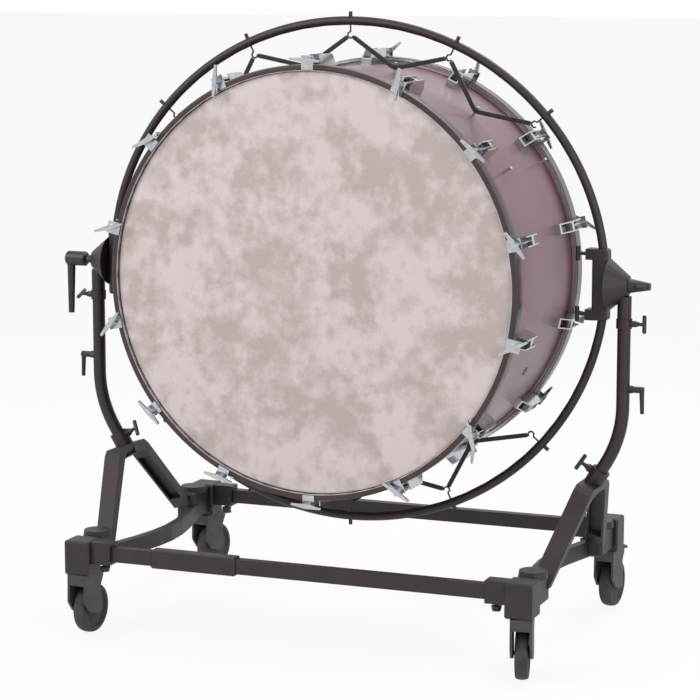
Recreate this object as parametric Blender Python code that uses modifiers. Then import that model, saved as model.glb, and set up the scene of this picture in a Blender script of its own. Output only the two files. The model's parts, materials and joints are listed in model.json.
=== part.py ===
"""Concert bass drum hung on elastic straps in an oval ring, on a wheeled tilting stand.

Metres, +Z up. X runs along the tilt axis, -Y is the front head. The origin is the middle
of the floor area that the stand covers.
"""
import math

import bmesh
import bpy
from mathutils import Matrix, Vector

# Drum
DRUM_RADIUS = 0.508
SHELL_DEPTH = 0.508
SHELL_WALL = 0.010
EDGE_CHAMFER = 0.004
DRUM_SET_BACK = -0.011
LUG_COUNT = 14
ROUND_STEPS = 56
HEAD_THICKNESS = 0.0009
HEAD_COLLAR_DROP = 0.009
FLESH_HOOP_WIDTH = 0.0085
FLESH_HOOP_DEPTH = 0.0118
HOOP_RADIUS = 0.525
HOOP_DEPTH = 0.038
HOOP_PROUD = 0.0105
HOOP_LIP = 0.014
HOOP_EDGE_ROUND = 0.002
CONTACT_GAP = 0.0003

# Tuning hardware
ROD_OFFSET = 0.0117
ROD_RADIUS = 0.003
CLAW_WIDTH = 0.030
CLAW_PLATE = 0.004
CLAW_GRIP = 0.012
CLAW_SKIRT = 0.0025
CLAW_OVERHANG = 0.010
HANDLE_BOSS_RADIUS = 0.0075
HANDLE_BOSS_LENGTH = 0.014
HANDLE_LENGTH = 0.076
HANDLE_WIDTH = 0.012
HANDLE_TIP = 0.005
HANDLE_THICKNESS = 0.006
LUG_LENGTH = 0.105
LUG_WIDTH = 0.026
LUG_HEIGHT = 0.040
LUG_WALL = 0.003
LUG_HOOP_GAP = 0.004
LUG_NUT_START = 0.050
LUG_NUT_LENGTH = 0.016
FRONT_HANDLE_ANGLES = (-4, 82, -40, -51, 25, -77, -31, -5, -16, -45, 51, 15, 26, 85)
REAR_HANDLE_ANGLE = 38
VENT_RADIUS = 0.009
VENT_ANGLE = -26

# Ring, its hooks and the elastic straps
PIVOT_HEIGHT = 0.897
RING_HALF_WIDTH = 0.657
RING_HALF_HEIGHT = 0.6216
RING_TUBE_RADIUS = 0.0105
RING_STEPS = 64
HOOK_WIRE = 0.0024
HOOK_SHANK = 0.016
HOOK_LOOP = 0.008
HOOK_BOLT_RADIUS = 0.005
HOOK_BOLT_PROUD = 0.012
STRAP_WIDTH = 0.011
STRAP_THICKNESS = 0.007
STRAP_DROP = 0.0035
STUD_HEIGHT = 0.026
STUD_THICKNESS = 0.005
STUD_WIDTH = 0.006
STUD_CLEARANCE = 0.0006
STUD_OVERHANG = 0.004
SIDE_STUD_ANGLE = 32
SIDE_STUD_BACK = 0.165
SIDE_STUD_FRONT = -0.110

# Ring clamps and tilt pivots
CLAMP_INNER = 0.628
CLAMP_OUTER = 0.6665
CLAMP_HALF_HEIGHT = 0.086
CLAMP_HALF_DEPTH = 0.019
CLAMP_LUG_INNER = 0.612
CLAMP_LUG_HEIGHT = 0.026
CLAMP_SCREW_REACH = 0.024
SHAFT_RADIUS = 0.010
SHAFT_CLEARANCE = 0.0005
SHAFT_LENGTH = 0.032
HUB_FACE = 0.6675
HUB_OUTER = 0.716
HUB_BASE_RADIUS = 0.063
HUB_TIP_RADIUS = 0.024

# Posts
POST_X = 0.7055
UPPER_POST_RADIUS = 0.0172
POST_HEAD_DROP = 0.026
LOWER_POST_RADIUS = 0.0158
INNER_ROD_RADIUS = 0.0125
INNER_ROD_END = 0.600
POST_BORE_CLEARANCE = 0.0005
POST_BORE_FLOOR = 0.590
COLLAR_TOP = 0.8167
COLLAR_HEIGHT = 0.023
COLLAR_RADIUS = 0.0195
HEIGHT_TRAVEL = 0.12
POST_BEND_TOP = 0.605
POST_BEND_RADIUS = 0.28
POST_BEND_ANGLE = 31
POST_BEND_STEPS = 8
POST_TAIL = 0.086

# Levers and hand screws
LEVER_SPINDLE_RADIUS = 0.010
LEVER_SPINDLE_LENGTH = 0.021
LEVER_HUB_RADIUS = 0.019
LEVER_HUB_LENGTH = 0.058
LEVER_ARM_LENGTH = 0.143
LEVER_ARM_WIDTH = 0.020
PIVOT_HANDLE_LENGTH = 0.052
PIVOT_HANDLE_ROOT = 0.018
PIVOT_HANDLE_TIP = 0.009
SCREW_BOSS_RADIUS = 0.008
SCREW_BOSS_LENGTH = 0.008
SCREW_SHAFT_RADIUS = 0.0045
SCREW_SHAFT_LENGTH = 0.022
SCREW_BAR_LENGTH = 0.044
SCREW_BAR_RADIUS = 0.0055
POST_LEVER_Z = 0.646
POST_LEVER_REACH = 0.027
POST_LEVER_DROP = 0.058

# Wheeled base
CASTER_X = 0.5728
CASTER_Y = 0.3638
WHEEL_RADIUS = 0.0625
WHEEL_WIDTH = 0.032
WHEEL_STEPS = 24
AXLE_RADIUS = 0.005
AXLE_CLEARANCE = 0.0006
CASTER_TRAIL = 0.035
CASTER_HEADINGS = {"front_left": 4, "front_right": -14, "rear_left": 10, "rear_right": 4}
FORK_HALF_WIDTH = 0.0265
FORK_ARM = 0.006
FORK_BRIDGE_BOTTOM = 0.131
FORK_TOP = 0.1585
STEM_RADIUS = 0.0065
STEM_CLEARANCE = 0.0006
STEM_LENGTH = 0.030
PEDAL_REACH = 0.052
PEDAL_WIDTH = 0.036
PEDAL_THICKNESS = 0.006
PEDAL_BARREL = 0.006
PEDAL_Z = 0.147
CORNER_BOTTOM = 0.159
CORNER_TOP = 0.245
CORNER_HALF = 0.034
RAIL_Z = 0.214
RAIL_HEIGHT = 0.036
RAIL_DEPTH = 0.025
RAIL_WALL_CLEARANCE = 0.0005
SOCKET_WALL = 0.008
SOCKET_LENGTH = 0.052
SLEEVE_START = -0.377
SLEEVE_END = -0.151
SLEEVE_WALL = 0.005
ARM_LENGTH = 0.105
ARM_WIDTH = 0.046
SIDE_RAIL_BOTTOM = 0.167
SIDE_RAIL_HEIGHT = 0.040
SIDE_RAIL_THICKNESS = 0.022
SIDE_RAIL_BOW = 0.062
SIDE_RAIL_STEPS = 10
LEG_FOOT_Y = 0.245
LEG_FOOT_X = 0.577
LEG_FOOT_Z = 0.205
LEG_TOP_Y = 0.082
LEG_TOP_X = 0.634
LEG_TOP_Z = 0.412
LEG_WIDTH = 0.046
LEG_THICKNESS = 0.020
LEG_POCKET_WALL = 0.006
LEG_POCKET_DEPTH = 0.012
SADDLE_THICKNESS = 0.018
POST_SOCKET_RADIUS = 0.023
POST_SOCKET_CLEARANCE = 0.0005
FOOT_PLATE_RADIUS = 0.036
FOOT_PLATE_THICKNESS = 0.007

COLOURS = {
    "shell": ((0.36, 0.20, 0.23), 0.35, 0.1),
    "skin": ((0.72, 0.66, 0.62), 0.55, 0.0),
    "hoop": ((0.10, 0.03, 0.03), 0.30, 0.0),
    "chrome": ((0.80, 0.80, 0.82), 0.15, 1.0),
    "frame": ((0.045, 0.030, 0.030), 0.45, 0.2),
    "plastic": ((0.015, 0.015, 0.017), 0.50, 0.0),
    "strap": ((0.010, 0.010, 0.011), 0.80, 0.0),
    "wheel": ((0.075, 0.075, 0.082), 0.60, 0.0),
}
DRUM_CENTRE = Vector((0.0, DRUM_SET_BACK, PIVOT_HEIGHT))
X_AXIS, Y_AXIS, Z_AXIS = Vector((1, 0, 0)), Vector((0, 1, 0)), Vector((0, 0, 1))


def clear_scene():
    for old in list(bpy.data.objects):
        bpy.data.objects.remove(old)


def new_collection(name):
    collection = bpy.data.collections.new(name)
    bpy.context.scene.collection.children.link(collection)
    return collection


clear_scene()
PARTS = new_collection("concert_bass_drum")
CUTTERS = new_collection("cutters")
ROOT = bpy.data.objects.new("stand_origin", None)
PARTS.objects.link(ROOT)


def make_material(name):
    colour, roughness, metallic = COLOURS[name]
    material = bpy.data.materials.new(name)
    material.use_nodes = True
    shader = material.node_tree.nodes["Principled BSDF"]
    shader.inputs["Base Color"].default_value = (*colour, 1.0)
    shader.inputs["Roughness"].default_value = roughness
    shader.inputs["Metallic"].default_value = metallic
    return material


MATERIALS = {name: make_material(name) for name in COLOURS}


def mesh_object(name, mesh):
    """A working piece: it stays among the cutters until it is named a part."""
    piece = bpy.data.objects.new(name, mesh)
    CUTTERS.objects.link(piece)
    piece.hide_render = True
    piece.display_type = "WIRE"
    piece.parent = ROOT
    return piece


def from_bmesh(name, bm):
    mesh = bpy.data.meshes.new(name)
    bm.to_mesh(mesh)
    bm.free()
    return mesh_object(name, mesh)


def facing(direction, roll=None):
    """Rotation that turns +Z to a direction, with +X as near as can be to roll."""
    z = Vector(direction).normalized()
    hint = Vector(roll) if roll is not None else (X_AXIS if abs(z.x) < 0.9 else Y_AXIS)
    y = z.cross(hint).normalized()
    return Matrix((y.cross(z), y, z)).transposed().to_4x4()


def box(name, low, high):
    """An upright box between two corners."""
    low, high = Vector(low), Vector(high)
    low, high = (Vector(map(min, low, high)), Vector(map(max, low, high)))
    bm = bmesh.new()
    bmesh.ops.create_cube(bm, size=1.0)
    bm.transform(Matrix.Translation((low + high) / 2) @ Matrix.Diagonal((*(high - low), 1.0)))
    return from_bmesh(name, bm)


def bar(name, size, centre, direction, roll=None):
    """A box of a given size, its own Z laid along a direction."""
    bm = bmesh.new()
    bmesh.ops.create_cube(bm, size=1.0)
    bm.transform(Matrix.Translation(centre) @ facing(direction, roll) @ Matrix.Diagonal((*size, 1.0)))
    return from_bmesh(name, bm)


def round_bar(name, start, end, radius, end_radius=None, sides=12):
    """A cylinder or a cone between two points."""
    start, end = Vector(start), Vector(end)
    bm = bmesh.new()
    bmesh.ops.create_cone(bm, cap_ends=True, segments=sides, radius1=radius,
                          radius2=radius if end_radius is None else end_radius,
                          depth=(end - start).length)
    bm.transform(Matrix.Translation((start + end) / 2) @ facing(end - start))
    return from_bmesh(name, bm)


def turned(name, profile, steps, closed):
    """A profile of (radius, height) turned about its own Z with a Screw modifier."""
    mesh = bpy.data.meshes.new(name)
    count = len(profile)
    edges = [(i, (i + 1) % count) for i in range(count if closed else count - 1)]
    mesh.from_pydata([(r, 0.0, z) for r, z in profile], edges, [])
    piece = mesh_object(name, mesh)
    screw = piece.modifiers.new("turn", "SCREW")
    screw.axis = "Z"
    screw.steps = screw.render_steps = steps
    screw.use_merge_vertices = True
    screw.merge_threshold = 0.00005
    return piece


def to_mesh(piece):
    """Turn a curve, or a piece with live modifiers, into a plain welded mesh."""
    bpy.context.view_layer.update()
    evaluated = piece.evaluated_get(bpy.context.evaluated_depsgraph_get())
    mesh = bpy.data.meshes.new_from_object(evaluated)
    bm = bmesh.new()
    bm.from_mesh(mesh)
    bmesh.ops.remove_doubles(bm, verts=bm.verts, dist=0.00002)
    bmesh.ops.recalc_face_normals(bm, faces=bm.faces)
    bm.transform(piece.matrix_world)
    bm.to_mesh(mesh)
    bm.free()
    name = piece.name
    bpy.data.objects.remove(piece)
    return mesh_object(name, mesh)


def wire(name, points, radius, resolution=1, cyclic=False):
    """A round tube along points."""
    curve = bpy.data.curves.new(name, "CURVE")
    curve.dimensions = "3D"
    curve.bevel_depth = radius
    curve.bevel_resolution = resolution
    curve.use_fill_caps = not cyclic
    spline = curve.splines.new("POLY")
    spline.points.add(len(points) - 1)
    for point, place in zip(spline.points, points):
        point.co = (*place, 1.0)
    spline.use_cyclic_u = cyclic
    piece = bpy.data.objects.new(name, curve)
    CUTTERS.objects.link(piece)
    return to_mesh(piece)


def plate(name, outline, thickness, placing):
    """A flat closed outline with a thickness, placed by a matrix."""
    curve = bpy.data.curves.new(name, "CURVE")
    curve.dimensions = "2D"
    curve.fill_mode = "BOTH"
    curve.extrude = thickness / 2
    spline = curve.splines.new("POLY")
    spline.points.add(len(outline) - 1)
    for point, (u, v) in zip(spline.points, outline):
        point.co = (u, v, 0.0, 1.0)
    spline.use_cyclic_u = True
    piece = bpy.data.objects.new(name, curve)
    piece.matrix_world = placing
    CUTTERS.objects.link(piece)
    return to_mesh(piece)


def soften(piece, width, segments=1):
    bevel = piece.modifiers.new("soften", "BEVEL")
    bevel.width = width
    bevel.segments = segments
    bevel.limit_method = "ANGLE"
    bevel.angle_limit = math.radians(40)
    return piece


def combine(piece, others, operation):
    for other in others:
        step = piece.modifiers.new(operation.lower(), "BOOLEAN")
        step.operation = operation
        step.solver = "EXACT"
        step.object = other
    return piece


def join(piece, others):
    return combine(piece, others, "UNION")


def cut(piece, others):
    return combine(piece, others, "DIFFERENCE")


def group(name, pieces):
    """Several separate closed bodies as one operand."""
    bm = bmesh.new()
    for piece in pieces:
        bpy.context.view_layer.update()
        evaluated = piece.evaluated_get(bpy.context.evaluated_depsgraph_get())
        mesh = bpy.data.meshes.new_from_object(evaluated)
        mesh.transform(piece.matrix_world)
        bm.from_mesh(mesh)
        bpy.data.meshes.remove(mesh)
        bpy.data.objects.remove(piece)
    return from_bmesh(name, bm)


def part(piece, name, material, pivot=(0.0, 0.0, 0.0)):
    """Name a finished piece as a part, with its origin on its joint."""
    piece.name = name
    pivot = Vector(pivot)
    if piece.type == "MESH" and pivot.length > 0:
        piece.data.transform(Matrix.Translation(-pivot))
        piece.location = pivot
    CUTTERS.objects.unlink(piece)
    PARTS.objects.link(piece)
    piece.hide_render = False
    piece.display_type = "TEXTURED"
    piece.data.materials.clear()
    piece.data.materials.append(MATERIALS[material])
    return piece


def around_drum(angle, radius, y):
    """A point at an angle and radius about the drum's axis, y metres behind its middle."""
    return DRUM_CENTRE + Vector((radius * math.cos(angle), y, radius * math.sin(angle)))


def radial(angle):
    return Vector((math.cos(angle), 0.0, math.sin(angle)))


def tangent(angle):
    return Vector((-math.sin(angle), 0.0, math.cos(angle)))


def lug_angle(index):
    return math.radians(90 - index * 360 / LUG_COUNT)


HALF_SHELL = SHELL_DEPTH / 2
HOOP_FACE = HALF_SHELL + HOOP_PROUD
HOOP_BACK = HOOP_FACE - HOOP_DEPTH
ROD_CIRCLE = HOOP_RADIUS + ROD_OFFSET
HEAD_UNDER = HALF_SHELL + CONTACT_GAP
HEAD_FACE = HEAD_UNDER + HEAD_THICKNESS
FLESH_INNER = DRUM_RADIUS + 0.0008
FLESH_OUTER = FLESH_INNER + FLESH_HOOP_WIDTH
FLESH_TOP = HEAD_FACE - HEAD_COLLAR_DROP
FLESH_BOTTOM = FLESH_TOP - FLESH_HOOP_DEPTH
HOOP_LIP_UNDER = FLESH_TOP + 0.0009
HOOP_INNER = HOOP_RADIUS - HOOP_LIP
HOOP_WALL_INNER = FLESH_OUTER + 0.0015


def lug_casing(angle, side):
    """Pressed casing on the shell: two cheeks, a closed end and a cross nut for the rod."""
    out, across = radial(angle), tangent(angle)
    start = HOOP_BACK - LUG_HOOP_GAP
    base = DRUM_RADIUS - SHELL_WALL / 2
    top = DRUM_RADIUS + LUG_HEIGHT
    middle = start - LUG_LENGTH / 2
    size = (LUG_WIDTH, LUG_LENGTH, top - base)
    centre = around_drum(angle, (top + base) / 2, side * middle)
    casing = bar("casing", size, centre, out, across)
    inside = (LUG_WIDTH - 2 * LUG_WALL, LUG_LENGTH, top - DRUM_RADIUS)
    nut_size = (LUG_WIDTH - LUG_WALL, LUG_NUT_LENGTH, 0.014)
    nut_middle = start - LUG_NUT_START - LUG_NUT_LENGTH / 2
    pocket = bar("pocket", inside, around_drum(angle, DRUM_RADIUS + LUG_WALL + inside[2] / 2,
                                               side * (middle + LUG_WALL)), out, across)
    nut = bar("nut", nut_size, around_drum(angle, ROD_CIRCLE, side * nut_middle), out, across)
    slope_start = around_drum(angle, top + 0.004, side * (start - LUG_LENGTH))
    slope = bar("slope", (LUG_WIDTH * 2, 0.040, 0.040), slope_start, out + Y_AXIS * (-side), across)
    join(cut(casing, [pocket, slope]), [nut])
    solid = to_mesh(casing)
    for spare in (pocket, nut, slope):
        bpy.data.objects.remove(spare)
    return solid


def strap_stud(angle, y):
    """Bent hook on the shell that a strap lies under."""
    out = radial(angle)
    near = y - DRUM_SET_BACK + STRAP_THICKNESS / 2 + STUD_CLEARANCE
    far = near + STUD_THICKNESS
    tip = near - STRAP_THICKNESS - STUD_OVERHANG
    foot, top = DRUM_RADIUS - SHELL_WALL / 2, DRUM_RADIUS + STUD_HEIGHT
    under = top - STUD_THICKNESS
    outline = [(far, foot), (far, top), (tip, top), (tip, under), (near, under), (near, foot)]
    turn = Matrix((Y_AXIS, out, Y_AXIS.cross(out))).transposed().to_4x4()
    return plate("stud", outline, STUD_WIDTH, Matrix.Translation(DRUM_CENTRE) @ turn)


def v_stud_angles():
    """Studs midway between lugs, two each side at the top and two each side at the bottom."""
    step = 360 / LUG_COUNT
    return [math.radians(sign * 90 + turn * step)
            for sign in (1, -1) for turn in (-1.5, -0.5, 0.5, 1.5)]


def make_shell():
    r, inner, half, c = DRUM_RADIUS, DRUM_RADIUS - SHELL_WALL, HALF_SHELL, EDGE_CHAMFER
    profile = [(r - c, half), (r, half - c), (r, c - half), (r - c, -half),
               (inner, c - half), (inner, half - c)]
    shell = turned("shell_tube", profile, ROUND_STEPS, closed=True)
    shell.matrix_world = Matrix.Translation(DRUM_CENTRE) @ facing(-Y_AXIS)
    shell = to_mesh(shell)
    fittings = [lug_casing(lug_angle(i), side) for i in range(LUG_COUNT) for side in (-1, 1)]
    fittings += [strap_stud(angle, 0.0) for angle in v_stud_angles()]
    for angle in (math.radians(SIDE_STUD_ANGLE), math.radians(180 - SIDE_STUD_ANGLE)):
        fittings += [strap_stud(angle, SIDE_STUD_BACK), strap_stud(angle, SIDE_STUD_FRONT)]
    join(shell, [group("shell_fittings", fittings)])
    vent = math.radians(VENT_ANGLE)
    cut(shell, [round_bar("vent_cutter", around_drum(vent, DRUM_RADIUS - 0.03, 0.011),
                          around_drum(vent, DRUM_RADIUS + 0.02, 0.011), VENT_RADIUS)])
    part(shell, "shell", "shell")


def make_head(name, side):
    """Membrane pulled over the bearing edge down to its flesh hoop."""
    drop = HEAD_COLLAR_DROP
    profile = [(0.0, HEAD_FACE), (DRUM_RADIUS - 0.0018, HEAD_FACE),
               (DRUM_RADIUS + 0.0017, HEAD_FACE - 0.0035), (DRUM_RADIUS + 0.0020, FLESH_TOP + 0.0006),
               (FLESH_OUTER, FLESH_TOP), (FLESH_OUTER, FLESH_BOTTOM), (FLESH_INNER, FLESH_BOTTOM),
               (FLESH_INNER, HEAD_UNDER - drop / 3), (DRUM_RADIUS - 0.0022, HEAD_UNDER),
               (0.0, HEAD_UNDER)]
    head = turned(name, profile, ROUND_STEPS, closed=False)
    head.matrix_world = Matrix.Translation(DRUM_CENTRE) @ facing(Y_AXIS * side)
    part(to_mesh(head), name, "skin")


def claw(angle, side, drilled):
    """Claw plate over the hoop's edge, with a tongue on its face and a skirt outside it."""
    out, across = radial(angle), tangent(angle)
    low = HOOP_RADIUS - CLAW_GRIP
    high = ROD_CIRCLE + CLAW_OVERHANG
    front = HOOP_FACE - 0.0004
    face = bar("claw_plate", (CLAW_WIDTH, CLAW_PLATE, high - low),
               around_drum(angle, (low + high) / 2, side * (front + CLAW_PLATE / 2)), out, across)
    skirt_length = HOOP_DEPTH * 0.5
    skirt = bar("claw_skirt", (CLAW_WIDTH * 0.8, skirt_length, CLAW_SKIRT),
                around_drum(angle, HOOP_RADIUS + CLAW_SKIRT / 2 - 0.0006,
                            side * (front + CLAW_PLATE / 2 - skirt_length / 2)), out, across)
    join(face, [skirt])
    spare = [skirt]
    if drilled:
        hole = round_bar("claw_hole", around_drum(angle, ROD_CIRCLE, side * (front - 0.01)),
                         around_drum(angle, ROD_CIRCLE, side * (front + 0.02)),
                         ROD_RADIUS + CONTACT_GAP * 2, sides=8)
        cut(face, [hole])
        spare.append(hole)
    solid = to_mesh(face)
    for old in spare:
        bpy.data.objects.remove(old)
    return solid


def rod_with_handle(angle, side, handle_angle, fused):
    """Tension rod from the lug's nut to a flat T-handle in front of the claw."""
    nut_face = HOOP_BACK - LUG_HOOP_GAP - LUG_NUT_START + CONTACT_GAP
    seat = HOOP_FACE - 0.0004 + CLAW_PLATE + (-0.001 if fused else CONTACT_GAP)
    end = seat + HANDLE_BOSS_LENGTH
    shaft = round_bar("rod", around_drum(angle, ROD_CIRCLE, side * nut_face),
                      around_drum(angle, ROD_CIRCLE, side * (seat + 0.004)), ROD_RADIUS, sides=6)
    boss = round_bar("boss", around_drum(angle, ROD_CIRCLE, side * seat),
                     around_drum(angle, ROD_CIRCLE, side * end), HANDLE_BOSS_RADIUS,
                     HANDLE_BOSS_RADIUS * 0.8, sides=8)
    half, mid, tip = HANDLE_LENGTH / 2, HANDLE_WIDTH / 2, HANDLE_TIP / 2
    outline = [(-half, -tip), (0.0, -mid), (half, -tip), (half, tip), (0.0, mid), (-half, tip)]
    centre = around_drum(angle, ROD_CIRCLE, side * (end + HANDLE_THICKNESS / 2 - 0.001))
    wing = plate("wing", outline, HANDLE_THICKNESS,
                 Matrix.Translation(centre) @ facing(Y_AXIS * side, radial(handle_angle)))
    join(shaft, [boss, wing])
    solid = to_mesh(shaft)
    for spare in (boss, wing):
        bpy.data.objects.remove(spare)
    return solid


def make_hoop(name, side, fused_rods):
    e = HOOP_EDGE_ROUND
    profile = [(HOOP_INNER, HOOP_FACE), (HOOP_RADIUS - e, HOOP_FACE), (HOOP_RADIUS, HOOP_FACE - e),
               (HOOP_RADIUS, HOOP_BACK), (HOOP_WALL_INNER, HOOP_BACK),
               (HOOP_WALL_INNER, HOOP_LIP_UNDER), (HOOP_INNER, HOOP_LIP_UNDER)]
    hoop = turned(name, profile, ROUND_STEPS, closed=True)
    hoop.matrix_world = Matrix.Translation(DRUM_CENTRE) @ facing(Y_AXIS * side)
    hoop = to_mesh(hoop)
    claws = []
    for i in range(LUG_COUNT):
        fitting = claw(lug_angle(i), side, drilled=not fused_rods)
        if fused_rods:
            turn = math.radians(REAR_HANDLE_ANGLE * (i + 1))
            rod = rod_with_handle(lug_angle(i), side, turn, fused=True)
            join(fitting, [rod])
            fitting = to_mesh(fitting)
            bpy.data.objects.remove(rod)
        claws.append(fitting)
    join(hoop, [group(name + "_claws", claws)])
    part(hoop, name, "hoop")


def make_front_rods():
    for i, handle in enumerate(FRONT_HANDLE_ANGLES):
        angle = lug_angle(i)
        rod = rod_with_handle(angle, -1, math.radians(handle), fused=False)
        part(rod, f"front_tension_rod_{i + 1:02d}", "chrome", around_drum(angle, ROD_CIRCLE, 0.0))


def ring_point(angle, inset=0.0):
    """A point on the oval ring at the direction of an angle, moved inward by inset."""
    reach = 1 / math.hypot(math.cos(angle) / RING_HALF_WIDTH, math.sin(angle) / RING_HALF_HEIGHT)
    return Vector((0, 0, PIVOT_HEIGHT)) + radial(angle) * (reach - inset)


def hook_angles():
    step = 360 / LUG_COUNT
    return [math.radians(sign * 90 + turn * step) for sign in (1, -1) for turn in (-2, -1, 0, 1, 2)]


def hook_loop_centre(angle):
    return ring_point(angle, RING_TUBE_RADIUS + HOOK_SHANK + HOOK_LOOP)


def ring_hook(angle):
    """Bolt through the ring with an open hook inside it."""
    out, across = radial(angle), tangent(angle)
    centre = hook_loop_centre(angle)
    loop = [centre + HOOK_LOOP * (out * math.cos(t) + across * math.sin(t))
            for t in [math.radians(a) for a in (0, 60, 115, 165, 210, 255)]]
    hook = wire("hook", [ring_point(angle, 0.002)] + loop, HOOK_WIRE)
    bolt = round_bar("bolt", ring_point(angle, 0.004),
                     ring_point(angle, -RING_TUBE_RADIUS - HOOK_BOLT_PROUD), HOOK_BOLT_RADIUS, sides=8)
    join(bolt, [hook])
    solid = to_mesh(bolt)
    bpy.data.objects.remove(hook)
    return solid


def make_ring():
    points = [(RING_HALF_WIDTH * math.cos(t), 0.0, PIVOT_HEIGHT + RING_HALF_HEIGHT * math.sin(t))
              for t in [2 * math.pi * k / RING_STEPS for k in range(RING_STEPS)]]
    ring = wire("ring", points, RING_TUBE_RADIUS, resolution=2, cyclic=True)
    join(ring, [group("ring_hooks", [ring_hook(angle) for angle in hook_angles()])])
    part(ring, "suspension_ring", "frame")


def strap(name, points):
    """Flat elastic band through points, its ends square to it."""
    half = STRAP_WIDTH / 2
    flat = [Vector((p.x, p.z)) for p in points]
    left, right = [], []
    for i, p in enumerate(flat):
        before = (p - flat[i - 1]).normalized() if i else (flat[1] - p).normalized()
        after = (flat[i + 1] - p).normalized() if i + 1 < len(flat) else before
        run = (before + after).normalized()
        side = Vector((-run.y, run.x)) * half / max(0.3, run.dot(before))
        left.append(p + side)
        right.append(p - side)
    y = sum(p.y for p in points) / len(points)
    outline = [tuple(p) for p in left + right[::-1]]
    placing = Matrix.Translation((0, y, 0)) @ Matrix.Rotation(math.radians(90), 4, "X")
    part(plate(name, outline, STRAP_THICKNESS, placing), name, "strap")


def strap_end(hook, towards):
    """Where a strap starts, just clear of a hook's wire."""
    centre = hook_loop_centre(hook)
    run = (towards - centre).normalized()
    return centre + run * (HOOK_LOOP + HOOK_WIRE + CONTACT_GAP)


def make_straps():
    number = 0
    under_cap = DRUM_RADIUS + STUD_HEIGHT - STUD_THICKNESS - STRAP_WIDTH / 2 - STRAP_DROP
    for sign in (1, -1):
        hooks = [math.radians(sign * 90 + turn * 360 / LUG_COUNT) for turn in (-2, -1, 0, 1, 2)]
        for first, second in zip(hooks, hooks[1:]):
            middle = (first + second) / 2
            stud = DRUM_CENTRE + radial(middle) * under_cap
            stud.y = 0.0
            number += 1
            strap(f"elastic_strap_{number:02d}",
                  [strap_end(first, stud), stud, strap_end(second, stud)])


def clamp_screw(side, z):
    """Hand screw on the inner side of a ring clamp."""
    start = Vector((side * (CLAMP_LUG_INNER + 0.004), 0, z))
    tip = start - X_AXIS * side * (CLAMP_SCREW_REACH + 0.004)
    stem = round_bar("clamp_screw", start, tip, SCREW_SHAFT_RADIUS, sides=8)
    bar_half = Z_AXIS * SCREW_BAR_LENGTH * 0.4
    return stem, round_bar("clamp_bar", tip - bar_half, tip + bar_half, SCREW_BAR_RADIUS, sides=8)


def make_ring_clamp(name, side):
    low = PIVOT_HEIGHT - CLAMP_HALF_HEIGHT
    high = PIVOT_HEIGHT + CLAMP_HALF_HEIGHT
    body = box(name, (side * CLAMP_INNER, -CLAMP_HALF_DEPTH, low),
               (side * CLAMP_OUTER, CLAMP_HALF_DEPTH, high))
    soften(body, 0.004)
    pieces = []
    for z in (low, high - CLAMP_LUG_HEIGHT):
        pieces.append(box("clamp_lug", (side * CLAMP_LUG_INNER, -CLAMP_HALF_DEPTH, z),
                          (side * (CLAMP_INNER + 0.01), CLAMP_HALF_DEPTH, z + CLAMP_LUG_HEIGHT)))
        pieces.extend(clamp_screw(side, z + CLAMP_LUG_HEIGHT / 2))
    pieces.append(round_bar("tilt_shaft", (side * (CLAMP_OUTER - 0.01), 0, PIVOT_HEIGHT),
                            (side * (HUB_FACE + SHAFT_LENGTH), 0, PIVOT_HEIGHT), SHAFT_RADIUS, sides=16))
    join(body, pieces)
    steps = 6
    reach = math.asin((CLAMP_HALF_HEIGHT + 0.02) / RING_HALF_HEIGHT)
    start = 0 if side > 0 else math.pi
    channel = [(RING_HALF_WIDTH * math.cos(start + t), 0.0,
                PIVOT_HEIGHT + RING_HALF_HEIGHT * math.sin(start + t))
               for t in [reach * (2 * k / steps - 1) for k in range(steps + 1)]]
    cut(body, [wire("ring_channel", channel, RING_TUBE_RADIUS + 0.0008, resolution=2)])
    part(body, name, "frame", (0, 0, PIVOT_HEIGHT))


def make_upper_post(name, side):
    """Bearing head with a short column, and the inner rod that slides in the lower post."""
    x = side * POST_X
    column = round_bar(name, (x, 0, COLLAR_TOP + CONTACT_GAP), (x, 0, PIVOT_HEIGHT - POST_HEAD_DROP),
                       UPPER_POST_RADIUS, sides=16)
    hub = round_bar("hub", (side * HUB_FACE, 0, PIVOT_HEIGHT), (side * HUB_OUTER, 0, PIVOT_HEIGHT),
                    HUB_BASE_RADIUS, HUB_TIP_RADIUS, sides=24)
    rod = round_bar("inner_rod", (x, 0, COLLAR_TOP + 0.01), (x, 0, INNER_ROD_END),
                    INNER_ROD_RADIUS, sides=16)
    join(column, [hub, rod])
    bore = round_bar("shaft_bore", (side * (HUB_FACE - 0.01), 0, PIVOT_HEIGHT),
                     (side * (HUB_FACE + SHAFT_LENGTH + 0.001), 0, PIVOT_HEIGHT),
                     SHAFT_RADIUS + SHAFT_CLEARANCE, sides=16)
    cut(column, [bore])
    part(column, name, "frame", (x, 0, COLLAR_TOP))


def post_path(side):
    """Centre line of the lower post: straight, then an arc inward, then a straight tail."""
    points = [Vector((side * POST_X, 0, COLLAR_TOP - COLLAR_HEIGHT / 2))]
    for k in range(POST_BEND_STEPS + 1):
        t = math.radians(POST_BEND_ANGLE) * k / POST_BEND_STEPS
        points.append(Vector((side * (POST_X - POST_BEND_RADIUS * (1 - math.cos(t))), 0,
                              POST_BEND_TOP - POST_BEND_RADIUS * math.sin(t))))
    run = post_tail_direction(side)
    points.append(points[-1] + run * POST_TAIL)
    return points


def post_tail_direction(side):
    t = math.radians(POST_BEND_ANGLE)
    return Vector((-side * math.sin(t), 0, -math.cos(t)))


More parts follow.
